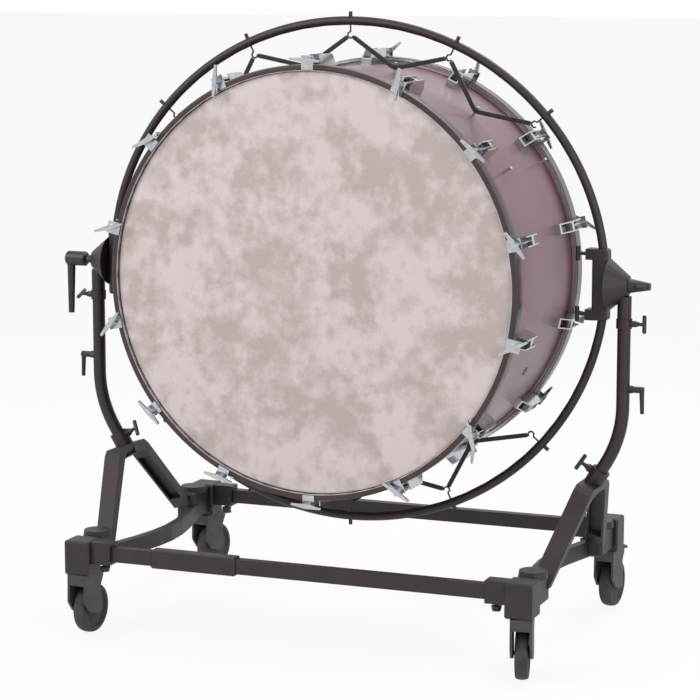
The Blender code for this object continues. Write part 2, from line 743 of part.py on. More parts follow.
def make_lower_post(name, side):
    x = side * POST_X
    post = wire(name, post_path(side), LOWER_POST_RADIUS, resolution=2)
    collar = round_bar("collar", (x, 0, COLLAR_TOP - COLLAR_HEIGHT), (x, 0, COLLAR_TOP),
                       COLLAR_RADIUS, sides=16)
    boss = round_bar("collar_boss", (x, 0, COLLAR_TOP - COLLAR_HEIGHT / 2),
                     (x + side * (COLLAR_RADIUS + SCREW_BOSS_LENGTH), 0,
                      COLLAR_TOP - COLLAR_HEIGHT / 2), SCREW_BOSS_RADIUS, sides=8)
    lever_boss = round_bar("lever_boss", (x, 0, POST_LEVER_Z),
                           (x + side * (LOWER_POST_RADIUS + SCREW_BOSS_LENGTH), 0, POST_LEVER_Z),
                           SCREW_BOSS_RADIUS * 1.2, sides=8)
    join(post, [collar, boss, lever_boss])
    bore = round_bar("rod_bore", (x, 0, POST_BORE_FLOOR), (x, 0, COLLAR_TOP + 0.02),
                     INNER_ROD_RADIUS + POST_BORE_CLEARANCE, sides=16)
    cut(post, [bore])
    part(post, name, "frame")


def make_pivot_lever(name, side):
    """Long clamp lever on the tilt axis, hanging down."""
    seat = HUB_OUTER + CONTACT_GAP
    hub_start = seat + LEVER_SPINDLE_LENGTH
    hub_end = hub_start + LEVER_HUB_LENGTH
    spindle = round_bar(name, (side * seat, 0, PIVOT_HEIGHT),
                        (side * (hub_start + 0.005), 0, PIVOT_HEIGHT), LEVER_SPINDLE_RADIUS)
    hub = round_bar("lever_hub", (side * hub_start, 0, PIVOT_HEIGHT),
                    (side * hub_end, 0, PIVOT_HEIGHT), LEVER_HUB_RADIUS, sides=14)
    soften(hub, 0.004)
    arm_x = side * (hub_end - LEVER_ARM_WIDTH * 0.6)
    arm = round_bar("lever_arm", (arm_x, 0, PIVOT_HEIGHT),
                    (arm_x + side * 0.002, 0, PIVOT_HEIGHT - LEVER_ARM_LENGTH),
                    LEVER_ARM_WIDTH * 0.58, LEVER_ARM_WIDTH * 0.40, sides=8)
    join(spindle, [hub, arm])
    part(spindle, name, "plastic", (side * seat, 0, PIVOT_HEIGHT))


def make_pivot_handle(name, side):
    """Short tapered grip with two wings on the other end of the tilt axis."""
    seat = HUB_OUTER + CONTACT_GAP
    end = seat + PIVOT_HANDLE_LENGTH
    grip = round_bar(name, (side * seat, 0, PIVOT_HEIGHT), (side * end, 0, PIVOT_HEIGHT),
                     PIVOT_HANDLE_ROOT, PIVOT_HANDLE_TIP, sides=14)
    wing = bar("grip_wing", (0.010, 0.052, PIVOT_HANDLE_LENGTH * 0.55),
               (side * (end - PIVOT_HANDLE_LENGTH * 0.36), 0, PIVOT_HEIGHT), X_AXIS, Z_AXIS)
    soften(wing, 0.004)
    join(grip, [wing])
    part(grip, name, "plastic", (side * seat, 0, PIVOT_HEIGHT))


def hand_screw(name, seat, direction, bar_direction):
    """T-shaped hand screw, standing just off its boss."""
    direction = Vector(direction).normalized()
    start = Vector(seat) + direction * CONTACT_GAP
    tip = start + direction * SCREW_SHAFT_LENGTH
    stem = round_bar(name, start, tip, SCREW_SHAFT_RADIUS, sides=10)
    flange = round_bar("screw_flange", start, start + direction * SCREW_BOSS_LENGTH,
                       SCREW_BOSS_RADIUS, SCREW_SHAFT_RADIUS * 1.2, sides=10)
    half = Vector(bar_direction).normalized() * SCREW_BAR_LENGTH / 2
    cross = round_bar("screw_bar", tip - half, tip + half, SCREW_BAR_RADIUS, sides=8)
    soften(cross, 0.002)
    join(stem, [flange, cross])
    part(stem, name, "plastic", start)


def make_height_screw(name, side):
    z = COLLAR_TOP - COLLAR_HEIGHT / 2
    seat = (side * (POST_X + COLLAR_RADIUS + SCREW_BOSS_LENGTH), 0, z)
    lean = Vector((0, 0.94, 0.34)) if side < 0 else Z_AXIS
    hand_screw(name, seat, X_AXIS * side, lean)


def make_post_lever(name, side):
    """Small L-shaped lever that clamps the inner rod lower down."""
    start = POST_X + LOWER_POST_RADIUS + SCREW_BOSS_LENGTH + CONTACT_GAP
    end = start + POST_LEVER_REACH
    spindle = round_bar(name, (side * start, 0, POST_LEVER_Z), (side * end, 0, POST_LEVER_Z),
                        SCREW_BOSS_RADIUS, sides=10)
    arm = round_bar("lever_drop", (side * (end - 0.005), 0, POST_LEVER_Z + 0.006),
                    (side * (end - 0.003), 0, POST_LEVER_Z - POST_LEVER_DROP), 0.0065, 0.005, sides=8)
    join(spindle, [arm])
    part(spindle, name, "plastic", (side * start, 0, POST_LEVER_Z))


def leg_frame(side):
    """Axes of the sloping plane that both legs lie in: (origin, up the slope, across it)."""
    foot = Vector((side * LEG_FOOT_X, 0, LEG_FOOT_Z))
    top = Vector((side * LEG_TOP_X, 0, LEG_TOP_Z))
    up = (top - foot).normalized()
    return foot, up, up.cross(Y_AXIS), (top - foot).length


def make_legs(side):
    """Inverted V of two broad straps under a saddle, hollowed on their inner faces."""
    foot, up, across, height = leg_frame(side)
    slope = math.atan2(height - SADDLE_THICKNESS, LEG_FOOT_Y - LEG_TOP_Y)
    inset = LEG_THICKNESS / math.sin(slope)
    under = height - SADDLE_THICKNESS
    shift = SADDLE_THICKNESS / math.tan(slope) if slope < math.pi / 2 else 0.0
    half = [(LEG_FOOT_Y, 0.0), (LEG_TOP_Y, height - SADDLE_THICKNESS * 0.7),
            (LEG_TOP_Y - 0.018, height), (0.0, height)]
    inner = [(LEG_FOOT_Y - inset, 0.0), (LEG_TOP_Y - inset + shift * 0.3, under * 0.94),
             (LEG_TOP_Y - inset - 0.014, under), (0.0, under)]
    outer_line = half + [(-u, v) for u, v in half[-2::-1]]
    inner_line = inner + [(-u, v) for u, v in inner[-2::-1]]
    outline = outer_line + inner_line[::-1]
    placing = Matrix.Translation(foot) @ Matrix((Y_AXIS, up, Y_AXIS.cross(up))).transposed().to_4x4()
    legs = plate("legs", outline, LEG_WIDTH, placing)
    pockets = []
    for direction in (-1, 1):
        low = foot + Y_AXIS * direction * (LEG_FOOT_Y - inset)
        high = foot + Y_AXIS * direction * (LEG_TOP_Y - inset) + up * under
        run = (high - low).normalized()
        inward = across.cross(run).normalized()
        if inward.dot(Y_AXIS * direction) > 0:
            inward = -inward
        middle = (low + high) / 2 - inward * (LEG_POCKET_DEPTH - LEG_THICKNESS / 2)
        length = (high - low).length - 0.075
        pockets.append(bar("leg_pocket", (LEG_WIDTH - 2 * LEG_POCKET_WALL, LEG_THICKNESS, length),
                           middle, run, across))
    return legs, pockets


def side_rail(side):
    """Flat bar that bows inward between the two corners."""
    outer, inner = [], []
    for k in range(SIDE_RAIL_STEPS + 1):
        y = (CASTER_Y - CORNER_HALF / 2) * (2 * k / SIDE_RAIL_STEPS - 1)
        bow = SIDE_RAIL_BOW * math.cos(math.pi / 2 * min(1.0, abs(y) / (CASTER_Y - CORNER_HALF))) ** 1.4
        x = CASTER_X - bow
        outer.append((side * (x + SIDE_RAIL_THICKNESS / 2), y))
        inner.append((side * (x - SIDE_RAIL_THICKNESS / 2), y))
    z = SIDE_RAIL_BOTTOM + SIDE_RAIL_HEIGHT / 2
    return plate("side_rail", outer + inner[::-1], SIDE_RAIL_HEIGHT, Matrix.Translation((0, 0, z)))


def corner(side, end):
    """Cast corner over a caster: block, socket for the cross rail, arm under the leg."""
    x, y = side * CASTER_X, end * CASTER_Y
    block = box("corner", (x - CORNER_HALF, y - CORNER_HALF, CORNER_BOTTOM),
                (x + CORNER_HALF, y + CORNER_HALF, CORNER_TOP))
    soften(block, 0.004)
    inner = side * (CASTER_X - CORNER_HALF - SOCKET_LENGTH)
    half_depth = RAIL_DEPTH / 2 + SOCKET_WALL
    low = RAIL_Z - RAIL_HEIGHT / 2 - SOCKET_WALL
    socket = box("socket", (inner, y - half_depth, low), (x, y + half_depth, CORNER_TOP - 0.002))
    arm_end = y - end * (CORNER_HALF + ARM_LENGTH)
    arm = box("arm", (x - ARM_WIDTH / 2, y, SIDE_RAIL_BOTTOM), (x + ARM_WIDTH / 2, arm_end, CORNER_TOP - 0.003))
    soften(arm, 0.006)
    foot_y = arm_end + end * ARM_LENGTH * 0.55
    foot = round_bar("foot", (x, foot_y, CORNER_TOP - 0.01), (x, foot_y, CORNER_TOP + FOOT_PLATE_THICKNESS),
                     FOOT_PLATE_RADIUS, FOOT_PLATE_RADIUS * 0.92, sides=16)
    knob_x = side * (CASTER_X - CORNER_HALF - SOCKET_LENGTH * 0.55)
    neck = round_bar("lock_neck", (knob_x, y, low + 0.004), (knob_x, y, low - 0.010), 0.0055, sides=8)
    knob = round_bar("lock_knob", (knob_x, y, low - 0.008), (knob_x, y, low - 0.020), 0.013, 0.010, sides=10)
    rail_hole = box("rail_hole", (inner - side * 0.02, y - RAIL_DEPTH / 2 - RAIL_WALL_CLEARANCE,
                                  RAIL_Z - RAIL_HEIGHT / 2 - RAIL_WALL_CLEARANCE),
                    (side * (CASTER_X - CORNER_HALF - 0.004), y + RAIL_DEPTH / 2 + RAIL_WALL_CLEARANCE,
                     RAIL_Z + RAIL_HEIGHT / 2 + RAIL_WALL_CLEARANCE))
    stem_hole = round_bar("stem_hole", (x, y, CORNER_BOTTOM - 0.01),
                          (x, y, CORNER_BOTTOM + STEM_LENGTH + 0.001), STEM_RADIUS + STEM_CLEARANCE, sides=12)
    return [block, socket, arm, foot, neck, knob], [rail_hole, stem_hole]


def make_end_frame(name, side):
    legs, holes = make_legs(side)
    cut(legs, holes)
    pieces, cuts = [side_rail(side)], []
    for end in (-1, 1):
        made, openings = corner(side, end)
        pieces += made
        cuts += openings
    points = post_path(side)
    run = post_tail_direction(side)
    tail = points[-1]
    socket_top = tail - run * (POST_TAIL - 0.020)
    socket = round_bar("post_socket", tail + run * 0.004, socket_top, POST_SOCKET_RADIUS, sides=18)
    inboard = Vector((-side * math.cos(math.radians(POST_BEND_ANGLE)), 0,
                      math.sin(math.radians(POST_BEND_ANGLE))))
    boss_root = socket_top + run * 0.014
    boss = round_bar("socket_boss", boss_root,
                     boss_root + inboard * (POST_SOCKET_RADIUS + SCREW_BOSS_LENGTH), 0.010, sides=10)
    join(legs, pieces + [socket, boss])
    bore = round_bar("post_bore", tail + run * CONTACT_GAP, socket_top - run * 0.03,
                     LOWER_POST_RADIUS + POST_SOCKET_CLEARANCE, sides=32)
    cut(legs, cuts + [bore])
    part(legs, name, "frame")
    screw_seat = boss_root + inboard * (POST_SOCKET_RADIUS + SCREW_BOSS_LENGTH)
    hand_screw(name.replace("end_frame", "socket_screw"), screw_seat, inboard,
               Vector((side * 0.515, 0.5, 0.857)))


def make_rail(name, end, sleeved):
    y = end * CASTER_Y
    reach = CASTER_X - CORNER_HALF - 0.006
    rail = box(name, (-reach, y - RAIL_DEPTH / 2, RAIL_Z - RAIL_HEIGHT / 2),
               (reach, y + RAIL_DEPTH / 2, RAIL_Z + RAIL_HEIGHT / 2))
    if sleeved:
        sleeve = box("sleeve", (SLEEVE_START, y - RAIL_DEPTH / 2 - SLEEVE_WALL,
                                RAIL_Z - RAIL_HEIGHT / 2 - SLEEVE_WALL),
                     (SLEEVE_END, y + RAIL_DEPTH / 2 + SLEEVE_WALL,
                      RAIL_Z + RAIL_HEIGHT / 2 + SLEEVE_WALL))
        soften(sleeve, 0.003)
        join(rail, [sleeve])
    part(rail, name, "frame")


def caster_frame(corner_name):
    """Swivel axis on the floor and the heading that the wheel trails along."""
    end, side = corner_name.split("_")
    x = CASTER_X * (1 if side == "right" else -1)
    y = CASTER_Y * (1 if end == "rear" else -1)
    turn = math.radians(CASTER_HEADINGS[corner_name])
    along = Vector((math.sin(turn), math.cos(turn), 0))
    return Vector((x, y, 0)), along, Vector((along.y, -along.x, 0))


def make_caster(corner_name):
    base, along, across = caster_frame(corner_name)
    axle = base + along * CASTER_TRAIL + Z_AXIS * WHEEL_RADIUS
    placing = Matrix((along, Z_AXIS, along.cross(Z_AXIS))).transposed().to_4x4()
    side_line = [(-0.030, FORK_TOP), (-0.032, 0.088), (-0.012, 0.062), (CASTER_TRAIL - 0.004, 0.050),
                 (CASTER_TRAIL + 0.011, 0.056), (CASTER_TRAIL + 0.012, 0.075), (0.040, 0.120),
                 (0.054, FORK_TOP - 0.014), (0.050, FORK_TOP)]
    fork = plate("fork", side_line, FORK_HALF_WIDTH * 2, Matrix.Translation(base) @ placing)
    gap = FORK_HALF_WIDTH - FORK_ARM
    slot = bar("wheel_slot", (gap * 2, 0.14, FORK_BRIDGE_BOTTOM),
               base + along * 0.02 + Z_AXIS * FORK_BRIDGE_BOTTOM / 2, Z_AXIS, across)
    pedal_gap = bar("pedal_slot", (PEDAL_WIDTH + 0.0006 * 2, 0.028, 0.040),
                    base + along * (0.0425 + 0.014) + Z_AXIS * (PEDAL_Z), Z_AXIS, across)
    cut(fork, [slot, pedal_gap])
    axle_pin = round_bar("axle", axle - across * (FORK_HALF_WIDTH - 0.002),
                         axle + across * (FORK_HALF_WIDTH - 0.002), AXLE_RADIUS, sides=12)
    stem = round_bar("stem", base + Z_AXIS * (FORK_TOP - 0.006),
                     base + Z_AXIS * (CORNER_BOTTOM + STEM_LENGTH), STEM_RADIUS, sides=12)
    join(fork, [axle_pin, stem])
    part(fork, f"caster_fork_{corner_name}", "plastic", base)

    w, r, bore = WHEEL_WIDTH / 2, WHEEL_RADIUS / math.cos(math.pi / WHEEL_STEPS), AXLE_RADIUS + AXLE_CLEARANCE
    profile = [(bore, w + 0.002), (0.016, w + 0.002), (0.018, w - 0.003), (0.046, w - 0.003), (0.050, w),
               (r - 0.006, w), (r, w - 0.008), (r, 0.008 - w), (r - 0.006, -w), (0.050, -w),
               (0.046, 0.003 - w), (0.018, 0.003 - w), (0.016, -w - 0.002), (bore, -w - 0.002)]
    wheel = turned("wheel", profile, WHEEL_STEPS, closed=True)
    flat_down = Matrix.Rotation(math.pi / WHEEL_STEPS, 4, "Z")
    wheel.matrix_world = Matrix.Translation(axle) @ facing(across, Z_AXIS) @ flat_down
    part(to_mesh(wheel), f"caster_wheel_{corner_name}", "wheel", axle)

    hinge = base + along * (0.0425 + PEDAL_BARREL + 0.0005) + Z_AXIS * PEDAL_Z
    half = across * (PEDAL_WIDTH / 2)
    barrel = round_bar("pedal", hinge - half, hinge + half, PEDAL_BARREL, sides=10)
    outline = [(-PEDAL_WIDTH / 2 + 0.003, 0.0), (PEDAL_WIDTH / 2 - 0.003, 0.0),
               (PEDAL_WIDTH / 2 - 0.002, PEDAL_REACH * 0.55), (PEDAL_WIDTH / 2 + 0.004, PEDAL_REACH * 0.8),
               (PEDAL_WIDTH / 2 - 0.008, PEDAL_REACH), (-PEDAL_WIDTH / 2 + 0.008, PEDAL_REACH),
               (-PEDAL_WIDTH / 2 - 0.004, PEDAL_REACH * 0.8), (-PEDAL_WIDTH / 2 + 0.002, PEDAL_REACH * 0.55)]
    tread_placing = Matrix((across, along, across.cross(along))).transposed().to_4x4()
    tread = plate("pedal_tread", outline, PEDAL_THICKNESS, Matrix.Translation(hinge) @ tread_placing)
    join(barrel, [tread])
    part(barrel, f"brake_pedal_{corner_name}", "plastic", hinge)


def centre_on_floor():
    """Move the whole stand so that its outer box stands centred on the origin."""
    bpy.context.view_layer.update()
    depsgraph = bpy.context.evaluated_depsgraph_get()
    corners = []
    for piece in PARTS.objects:
        if piece.type == "MESH":
            shape = piece.evaluated_get(depsgraph)
            corners += [shape.matrix_world @ Vector(c) for c in shape.bound_box]
    middle = [(min(c[i] for c in corners) + max(c[i] for c in corners)) / 2 for i in (0, 1)]
    ROOT.location = (-middle[0], -middle[1], 0.0)
    bpy.context.view_layer.update()


make_shell()
make_head("front_head", -1)
make_head("rear_head", 1)
make_hoop("front_counterhoop", -1, fused_rods=False)
make_hoop("rear_counterhoop", 1, fused_rods=True)
make_front_rods()
make_ring()
make_straps()
for side_name, side_sign in (("left", -1), ("right", 1)):
    make_ring_clamp(f"ring_clamp_{side_name}", side_sign)
    make_upper_post(f"upper_post_{side_name}", side_sign)
    make_lower_post(f"lower_post_{side_name}", side_sign)
    make_height_screw(f"height_screw_{side_name}", side_sign)
    make_post_lever(f"post_lever_{side_name}", side_sign)
    make_end_frame(f"end_frame_{side_name}", side_sign)
make_pivot_lever("pivot_lever_left", -1)
make_pivot_handle("pivot_handle_right", 1)
make_rail("front_rail", -1, sleeved=True)
make_rail("rear_rail", 1, sleeved=False)
for caster_name in CASTER_HEADINGS:
    make_caster(caster_name)
centre_on_floor()
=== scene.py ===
import json
import math

import bmesh
import bpy
import numpy as np
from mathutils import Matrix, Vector


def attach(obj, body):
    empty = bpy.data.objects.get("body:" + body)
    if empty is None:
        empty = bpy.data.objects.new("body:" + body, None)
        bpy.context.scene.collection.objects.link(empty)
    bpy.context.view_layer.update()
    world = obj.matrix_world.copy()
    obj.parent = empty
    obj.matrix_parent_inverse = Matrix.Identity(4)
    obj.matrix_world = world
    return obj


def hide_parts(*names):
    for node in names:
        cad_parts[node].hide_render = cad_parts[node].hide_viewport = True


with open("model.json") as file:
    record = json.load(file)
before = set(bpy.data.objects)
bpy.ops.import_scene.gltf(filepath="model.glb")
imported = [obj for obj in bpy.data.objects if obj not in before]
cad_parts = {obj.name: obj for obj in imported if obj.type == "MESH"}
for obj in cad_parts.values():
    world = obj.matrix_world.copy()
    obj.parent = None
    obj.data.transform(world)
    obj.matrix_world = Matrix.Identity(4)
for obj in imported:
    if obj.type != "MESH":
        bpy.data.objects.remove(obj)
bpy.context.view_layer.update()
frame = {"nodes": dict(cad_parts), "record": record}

# Shell
# A barrel of bent plies in satin red-brown lacquer, with pressed chrome casings and strap studs fixed
# to it. The smooth outer ply lies on the barrel's solid, and the chrome stands out through it.
JOINTS = {joint["name"]: joint for joint in frame["record"]["behaviour"]["joints"]}
PIVOT = np.array(JOINTS["drum_tilt"]["pos_m"])
DRUM_FORWARD = 0.011
DRUM_MIDDLE = PIVOT + np.array((0.0, -DRUM_FORWARD, 0.0))
SHELL_RADIUS = 0.508
SHELL_HALF = 0.2535
PLY_INSIDE = SHELL_RADIUS + 0.0001
PLY_OUTSIDE = SHELL_RADIUS + 0.0006
SHELL_STEPS = 288
MERGE_DISTANCE = 0.000005
LACQUER_DEEP = (0.160, 0.070, 0.088, 1.0)
LACQUER_RED = (0.190, 0.085, 0.105, 1.0)
CHROME_DEEP = (0.46, 0.47, 0.49, 1.0)
CHROME_BRIGHT = (0.56, 0.57, 0.60, 1.0)
COAT_ROUGHNESS = 0.12
GRAIN_HEIGHT = 0.0004
GLOSS_FINENESS = 3


def surface(name, points, wrap_along, wrap_round, sharp=35.0):
    """A grid of points (rows, columns, 3) as a smooth mesh with its faces outwards. Each face joins
    two neighbours in a row to the two in the next row, and rows and columns may wrap. Edges bent by
    more than sharp degrees stay sharp."""
    rows, columns = points.shape[:2]
    i, j = np.meshgrid(np.arange(rows - (not wrap_along)), np.arange(columns - (not wrap_round)),
                       indexing="ij")
    here, below = i * columns, (i + 1) % rows * columns
    left, right = j, (j + 1) % columns
    quads = np.stack((here + left, here + right, below + right, below + left), axis=-1).reshape(-1, 4)
    mesh = bpy.data.meshes.new(name)
    mesh.from_pydata(points.reshape(-1, 3).tolist(), [], quads.tolist())
    bm = bmesh.new()
    bm.from_mesh(mesh)
    bmesh.ops.remove_doubles(bm, verts=bm.verts, dist=MERGE_DISTANCE)
    bmesh.ops.recalc_face_normals(bm, faces=bm.faces)
    bm.to_mesh(mesh)
    bm.free()
    mesh.shade_smooth()
    mesh.set_sharp_from_angle(angle=math.radians(sharp))
    piece = bpy.data.objects.new(name, mesh)
    bpy.context.scene.collection.objects.link(piece)
    return piece


def turned(name, profile, middle, axis, steps):
    """A profile of (radius, distance along the axis) carried round the axis in a full circle: a point
    is the middle, plus its radius across the axis at angle t, plus its distance along the axis. The
    profile is a closed loop unless it starts on the axis."""
    axis = np.array(axis) / np.linalg.norm(axis)
    first = np.cross(axis, (0.0, 0.0, 1.0))
    first = first / np.linalg.norm(first)
    second = np.cross(axis, first)
    t = np.linspace(0.0, 2 * math.pi, steps, endpoint=False)[:, None, None]
    r, along = np.array(profile).T[:, None, :, None]
    points = middle + r * (np.cos(t) * first + np.sin(t) * second) + along * axis
    return surface(name, points, True, profile[0][0] > 0.0)


def new_material(name):
    """An empty node material, with its nodes and its links."""
    material = bpy.data.materials.new(name)
    material.use_nodes = True
    return material, material.node_tree.nodes, material.node_tree.links


def noise(nodes, links, scale, detail=4.0, roughness=0.55):
    """Cloudy noise from 0 to 1 in the piece's own coordinates, about scale patches to the metre."""
    coordinates = nodes.new("ShaderNodeTexCoord")
    texture = nodes.new("ShaderNodeTexNoise")
    texture.inputs["Scale"].default_value = scale
    texture.inputs["Detail"].default_value = detail
    texture.inputs["Roughness"].default_value = roughness
    links.new(coordinates.outputs["Object"], texture.inputs["Vector"])
    return texture.outputs["Fac"]


def ramp(nodes, links, factor, low, high, start=0.35, end=0.65):
    """Low colour up to start, high colour from end on, and an even blend between them."""
    colours = nodes.new("ShaderNodeValToRGB")
    colours.color_ramp.elements[0].position = start
    colours.color_ramp.elements[0].color = low
    colours.color_ramp.elements[1].position = end
    colours.color_ramp.elements[1].color = high
    links.new(factor, colours.inputs["Fac"])
    return colours.outputs["Color"]


def add_grain(shader, nodes, links, scale, strength, height):
    """A bump of fine noise, raised by its height and weighted by its strength."""
    relief = nodes.new("ShaderNodeBump")
    relief.inputs["Strength"].default_value = strength
    relief.inputs["Distance"].default_value = height
    links.new(noise(nodes, links, scale), relief.inputs["Height"])
    links.new(relief.outputs["Normal"], shader.inputs["Normal"])


def plain_finish(name, low, high, scale, gloss, grain, bump, metallic=0.0, coat=0.0, sheen=0.0):
    """Two close tones in patches, a roughness that varies between the two gloss values on patches of
    a third of that size, and a bumpy grain."""
    material, nodes, links = new_material(name)
    shader = nodes["Principled BSDF"]
    shader.inputs["Metallic"].default_value = metallic
    shader.inputs["Coat Weight"].default_value = coat
    shader.inputs["Coat Roughness"].default_value = COAT_ROUGHNESS
    shader.inputs["Sheen Weight"].default_value = sheen
    links.new(ramp(nodes, links, noise(nodes, links, scale), low, high), shader.inputs["Base Color"])
    spread = nodes.new("ShaderNodeMapRange")
    spread.inputs["To Min"].default_value = gloss[0]
    spread.inputs["To Max"].default_value = gloss[1]
    links.new(noise(nodes, links, scale * GLOSS_FINENESS), spread.inputs["Value"])
    links.new(spread.outputs["Result"], shader.inputs["Roughness"])
    add_grain(shader, nodes, links, grain, bump, GRAIN_HEIGHT)
    return material


def paint(name, material):
    """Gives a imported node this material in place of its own."""
    node = frame["nodes"][name]
    node.data.materials.clear()
    node.data.materials.append(material)


shell_lacquer = plain_finish("shell_lacquer", LACQUER_DEEP, LACQUER_RED, scale=3.0, gloss=(0.34, 0.46),
                             grain=240.0, bump=0.03, coat=0.15)
chrome = plain_finish("polished_chrome", CHROME_DEEP, CHROME_BRIGHT, scale=60.0, gloss=(0.10, 0.22),
                      grain=300.0, bump=0.02, metallic=1.0)
ply = [(PLY_INSIDE, SHELL_HALF), (PLY_OUTSIDE, SHELL_HALF),
       (PLY_OUTSIDE, -SHELL_HALF), (PLY_INSIDE, -SHELL_HALF)]
shell_ply = turned("shell_outer_ply", ply, DRUM_MIDDLE, (0, 1, 0), SHELL_STEPS)
shell_ply.data.materials.append(shell_lacquer)
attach(shell_ply, "drum_and_ring")
paint("shell", chrome)

# Vent
# A turned black plastic eyelet, pressed into the air hole in the barrel's side, in the ring's plane.
# A dark disc inside the rim, in the same black plastic, is painted shade that stands for its dark mouth.
VENT_ANGLE = math.radians(-26)
VENT_RADIUS = 0.009
VENT_STEPS = 48
RIM_WIDTH = 0.0034
RIM_DEPTH = 0.001
MOUTH_HEIGHT = 0.0004
PLASTIC_DEEP = (0.012, 0.012, 0.013, 1.0)
PLASTIC_LIGHT = (0.022, 0.022, 0.024, 1.0)
black_plastic = plain_finish("black_plastic", PLASTIC_DEEP, PLASTIC_LIGHT, scale=18.0, gloss=(0.38, 0.55),
                             grain=420.0, bump=0.08)
vent_way = np.array((math.cos(VENT_ANGLE), 0.0, math.sin(VENT_ANGLE)))
vent_place = DRUM_MIDDLE + vent_way * SHELL_RADIUS + np.array((0.0, DRUM_FORWARD, 0.0))

# Each point of the rim is its distance past the mouth's edge and its height over the barrel.
rim = [(0.0, 0.0006), (0.0006, 0.0018), (0.0022, 0.0016), (RIM_WIDTH, MOUTH_HEIGHT), (RIM_WIDTH, -RIM_DEPTH)]
# The first point starts a flat disc across the mouth: a dark sheet of painted shade where the open hole
# would be.
eyelet = ([(0.0, MOUTH_HEIGHT)] + [(VENT_RADIUS + past, height) for past, height in rim]
          + [(0.0, -RIM_DEPTH)])
vent = turned("vent_eyelet", eyelet, vent_place, vent_way, VENT_STEPS)
vent.data.materials.append(black_plastic)
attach(vent, "drum_and_ring")

# Heads
# A plastic film with a calf look, in a pale tone with cloudy patches, pulled over the barrel's edge
# down to a flesh hoop that the counterhoop holds.
HEAD_PLANE = 0.2552
HEAD_STEPS = 256
FLAT_RINGS = (0.0, 0.12, 0.25, 0.38, 0.46)
FILM_THICKNESS = 0.0008
COLLAR_BEND = 0.0035
COLLAR_INSET = 0.0018
COLLAR_POINTS = 7
INNER_INSET = 0.002
HEAD_LIGHT = (0.63, 0.535, 0.515, 1.0)
HEAD_CLOUD = (0.45, 0.375, 0.355, 1.0)
CLOUD_SHARE = 0.58
FLECK_SHARE = 0.42

# Each point of the flesh hoop is its distance past the collar's wall and its depth below the head.
FLESH_HOOP = ((0.0, 0.0085), (0.0076, 0.0094), (0.0076, 0.0205), (-0.0005, 0.0205), (-0.0006, 0.004))


def head_profile(plane, radius):
    """Flat film, a collar that is a quarter circle, the flesh hoop, and the film's inner side back to
    the axis."""
    flat = [(r, plane) for r in FLAT_RINGS]
    collar = [(radius - COLLAR_INSET + COLLAR_BEND * math.sin(a), plane - COLLAR_BEND * (1 - math.cos(a)))
              for a in np.linspace(0, math.pi / 2, COLLAR_POINTS)]
    wall = radius + COLLAR_BEND - COLLAR_INSET
    hoop = [(wall + past, plane - depth) for past, depth in FLESH_HOOP]
    inside = [(radius - INNER_INSET, plane - FILM_THICKNESS), (0.0, plane - FILM_THICKNESS)]
    return flat + collar + hoop + inside


def skin_material():
    """Large clouds and small flecks of noise, added by their shares, set the tone between the cloud
    and the light colour, with a faint grain."""
    material, nodes, links = new_material("calf_look_film")
    shader = nodes["Principled BSDF"]
    shader.inputs["Subsurface Weight"].default_value = 0.06
    shader.inputs["Subsurface Radius"].default_value = (0.006, 0.004, 0.003)
    shader.inputs["Roughness"].default_value = 0.52
    clouds = nodes.new("ShaderNodeMath")
    clouds.operation = "MULTIPLY"
    clouds.inputs[1].default_value = CLOUD_SHARE
    links.new(noise(nodes, links, scale=8.5, detail=5.0, roughness=0.6), clouds.inputs[0])
    patches = nodes.new("ShaderNodeMath")
    patches.operation = "MULTIPLY_ADD"
    patches.inputs[1].default_value = FLECK_SHARE
    links.new(noise(nodes, links, scale=26.0, detail=8.0, roughness=0.62), patches.inputs[0])
    links.new(clouds.outputs[0], patches.inputs[2])
    links.new(ramp(nodes, links, patches.outputs[0], HEAD_CLOUD, HEAD_LIGHT, start=0.43, end=0.56),
              shader.inputs["Base Color"])
    add_grain(shader, nodes, links, scale=160.0, strength=0.08, height=0.0003)
    return material


film = skin_material()
for side, way in (("front", -1.0), ("rear", 1.0)):
    head = turned(f"{side}_head_film", head_profile(HEAD_PLANE, SHELL_RADIUS), DRUM_MIDDLE, (0, way, 0),
                  HEAD_STEPS)
    head.data.materials.append(film)
    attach(head, "drum_and_ring")
    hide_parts(f"{side}_head")

# Counterhoops
# Bent wooden hoops in dark glossy lacquer. Each smooth hoop lies on its solid, whose chrome claws
# grip it from outside.
HOOP_RADIUS = 0.525
HOOP_INNER = 0.5107
HOOP_FACE = 0.2645
HOOP_DEPTH = 0.038
HOOP_BEND = 0.0022
HOOP_STEPS = 256
BEND_POINTS = 6
COVER_GAP = 0.0003
COVER_WALL = 0.0012
COVER_DROP = 1.6
HOOP_DEEP = (0.022, 0.006, 0.007, 1.0)
HOOP_LIGHT = (0.044, 0.012, 0.013, 1.0)
hoop_lacquer = plain_finish("hoop_lacquer", HOOP_DEEP, HOOP_LIGHT, scale=9.0, gloss=(0.26, 0.40),
                            grain=180.0, bump=0.03, coat=0.25)


def rounded_hoop(outer, inner, face, back, bend):
    """A thin cover of the face and the outer side. Its two front edges are quarter circles of radius
    bend, and its inner side lies some bends below the face."""
    arc = np.linspace(0, math.pi / 2, BEND_POINTS)
    front = [(inner + bend - bend * math.cos(a), face - bend + bend * math.sin(a)) for a in arc]
    edge = [(outer - bend + bend * math.sin(a), face - bend + bend * math.cos(a)) for a in arc]
    below = face - bend * COVER_DROP
    return front + edge + [(outer, back), (outer - COVER_WALL, back), (outer - COVER_WALL, below),
                           (inner + bend, below)]


